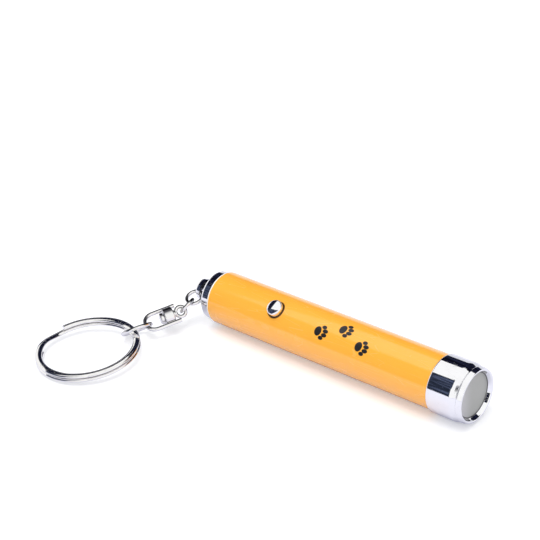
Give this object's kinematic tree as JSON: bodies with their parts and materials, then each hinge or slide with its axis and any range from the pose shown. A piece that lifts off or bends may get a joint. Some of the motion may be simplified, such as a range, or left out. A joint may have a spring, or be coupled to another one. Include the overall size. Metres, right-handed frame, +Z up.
{
  "type": "cat laser pointer",
  "caption": "Slim round pocket light for cat play with a frosted lens, a side push button and a screw-off tail on a swivel chain with a split ring.",
  "frame": {"origin": "on the barrel axis at the middle of the grip length, 48 mm from the tube's tail end; the tube's lowest line and the lying key ring are 7 mm below it", "axes": "+X along the barrel axis towards the light exit, +Z up away from the floor that the pointer lies on, +Y away from the chain; the button leans 35 degrees from +Z towards -Y"},
  "size_m": [0.111, 0.0549, 0.0153],
  "materials": {
    "lacquer": "glossy amber lacquer on aluminium",
    "chrome": "mirror plated",
    "nickel": "nickel plated steel",
    "lens": "frosted",
    "seal": "matt",
    "clear_seal": "translucent silicone",
    "black_plastic": "moulded",
    "film": "thin film",
    "lamp": "clear red epoxy",
    "board": "green solder mask",
    "plunger": "moulded",
    "spring_metal": "spring steel",
    "cell": "stainless can"
  },
  "bodies": {
    "barrel": {"barrel_tube": "lacquer", "head_cap": "chrome", "lens_bezel": "chrome", "lens": "lens", "lens_o_ring": "seal", "optic_tube": "black_plastic", "pattern_film": "film", "led_lamp": "lamp", "board_carrier": "black_plastic", "circuit_board": "board", "resistor": "black_plastic", "front_contact": "spring_metal", "switch_body": "black_plastic", "battery_cell_1": "cell", "battery_cell_2": "cell", "battery_cell_3": "cell"},
    "button": {"button_cap": "chrome", "switch_plunger": "plunger"},
    "tail_seal": {"tail_o_ring": "clear_seal"},
    "tail": {"tail_cap": "chrome", "battery_spring": "spring_metal"},
    "chain_link_1": {"chain_ring_1": "nickel"},
    "chain_link_2": {"chain_ring_2": "nickel"},
    "eye": {"swivel_eye": "nickel"},
    "bail": {"swivel_frame": "nickel"},
    "jump_link": {"jump_ring": "nickel"},
    "key_ring": {"split_ring": "nickel"}
  },
  "joints": [
    {"name": "button_press", "type": "slide", "parent": "barrel", "child": "button", "axis": [0, 0.5736, -0.8192], "range_m": [0, 0.0004], "stiffness_N_per_m": 1500, "springref_m": -0.0001},
    {"name": "tail_cap_travel", "type": "slide", "parent": "barrel", "child": "tail_seal", "axis": [-1, 0, 0], "range_m": [0, 0.0045]},
    {"name": "tail_cap_turn", "type": "hinge", "parent": "tail_seal", "child": "tail", "pos_m": [-0.048, 0, 0], "axis": [-1, 0, 0], "range_deg": [0, 2160], "deforming": ["battery_spring"]},
    {"name": "chain_ring_1_swing", "type": "hinge", "parent": "tail", "child": "chain_link_1", "pos_m": [-0.05555, -0.0016, 0], "axis": [0.9982, -0.0566, -0.0212], "range_deg": [-75, 55]},
    {"name": "chain_ring_2_swing", "type": "hinge", "parent": "chain_link_1", "child": "chain_link_2", "pos_m": [-0.05582, -0.00581, -0.00157], "axis": [0.9982, -0.0566, -0.0212], "range_deg": [-20, 20]},
    {"name": "swivel_eye_swing", "type": "hinge", "parent": "chain_link_2", "child": "eye", "pos_m": [-0.05602, -0.0088, -0.00269], "axis": [0.6393, -0.4078, 0.6519], "range_deg": [-45, 40]},
    {"name": "swivel_spin", "type": "hinge", "parent": "eye", "child": "bail", "pos_m": [-0.05762, -0.01205, -0.00315], "axis": [-0.4396, -0.8894, -0.1253], "continuous": true},
    {"name": "jump_ring_swing", "type": "hinge", "parent": "bail", "child": "jump_link", "pos_m": [-0.06013, -0.01795, -0.00408], "axis": [0.9225, -0.2591, -0.2862], "range_deg": [-35, 45]},
    {"name": "split_ring_swing", "type": "hinge", "parent": "jump_link", "child": "key_ring", "pos_m": [-0.0615, -0.02181, -0.00408], "axis": [-0.9426, 0.3338, 0], "range_deg": [-45, 55]}
  ],
  "couplings": [
    {"joint": "tail_cap_travel", "follows": "tail_cap_turn", "m_per_rad": 0.00011937}
  ]
}
